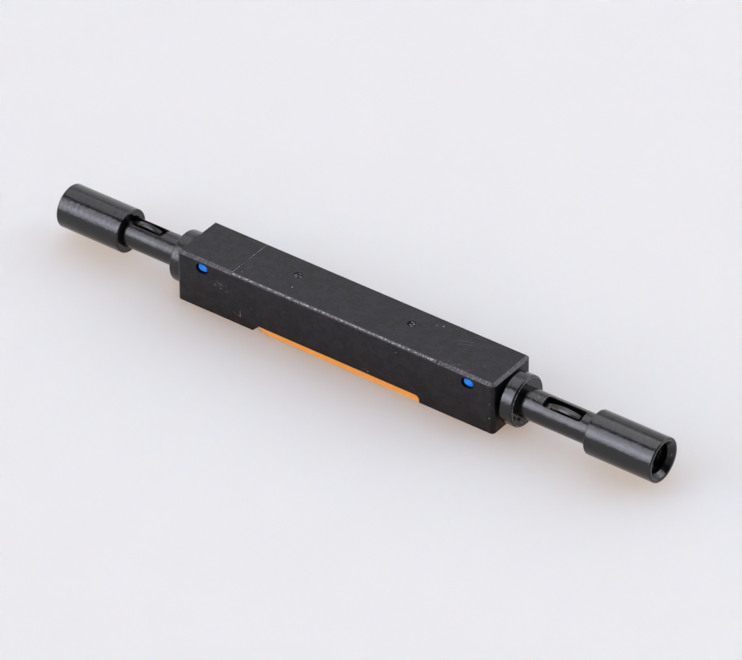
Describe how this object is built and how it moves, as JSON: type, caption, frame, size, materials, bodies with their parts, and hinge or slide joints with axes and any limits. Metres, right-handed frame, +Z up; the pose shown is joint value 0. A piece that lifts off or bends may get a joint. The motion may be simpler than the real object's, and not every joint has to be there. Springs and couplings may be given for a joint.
{
  "type": "inline fibre quick connector",
  "caption": "Slim inline splice for bare optical fibre: box housing with a press bar below, snap nubs in its sides, windowed tail tubes and sliding funnel-mouthed lock sleeves.",
  "frame": {"origin": "on the underside, below the point where the two fibres meet", "axes": "+X along the fibre to the right end, +Y to the back, +Z up from the surface it lies on"},
  "size_m": [0.0473, 0.004, 0.0039],
  "materials": {
    "housing": "fine spark-eroded satin black",
    "core": "glossy moulded blue",
    "plate": "glossy moulded blue",
    "spring": "stainless spring strip",
    "bar": "glossy moulded orange",
    "tail": "glossy moulded black",
    "sleeve": "glossy moulded black"
  },
  "bodies": {
    "splice_body": {"housing": "housing", "v_groove_core": "core", "tail_tube_left": "tail", "tail_tube_right": "tail"},
    "press_body": {"press_bar": "bar", "clamp_spring": "spring"},
    "plate_body": {"clamp_plate": "plate"},
    "left_sleeve_body": {"lock_sleeve_left": "sleeve"},
    "right_sleeve_body": {"lock_sleeve_right": "sleeve"}
  },
  "joints": [
    {"name": "press_bar_slide", "type": "slide", "parent": "splice_body", "child": "press_body", "axis": [0, 0, -1], "range_m": [0, 0.0007]},
    {"name": "clamp_plate_slide", "type": "slide", "parent": "splice_body", "child": "plate_body", "axis": [0, 0, -1], "range_m": [0, 0.00007]},
    {"name": "left_sleeve_slide", "type": "slide", "parent": "splice_body", "child": "left_sleeve_body", "axis": [-1, 0, 0], "range_m": [-0.00055, 0.00085]},
    {"name": "right_sleeve_slide", "type": "slide", "parent": "splice_body", "child": "right_sleeve_body", "axis": [1, 0, 0], "range_m": [-0.0014, 0]}
  ],
  "couplings": [
    {"joint": "clamp_plate_slide", "follows": "press_bar_slide", "ratio": 0.1}
  ]
}
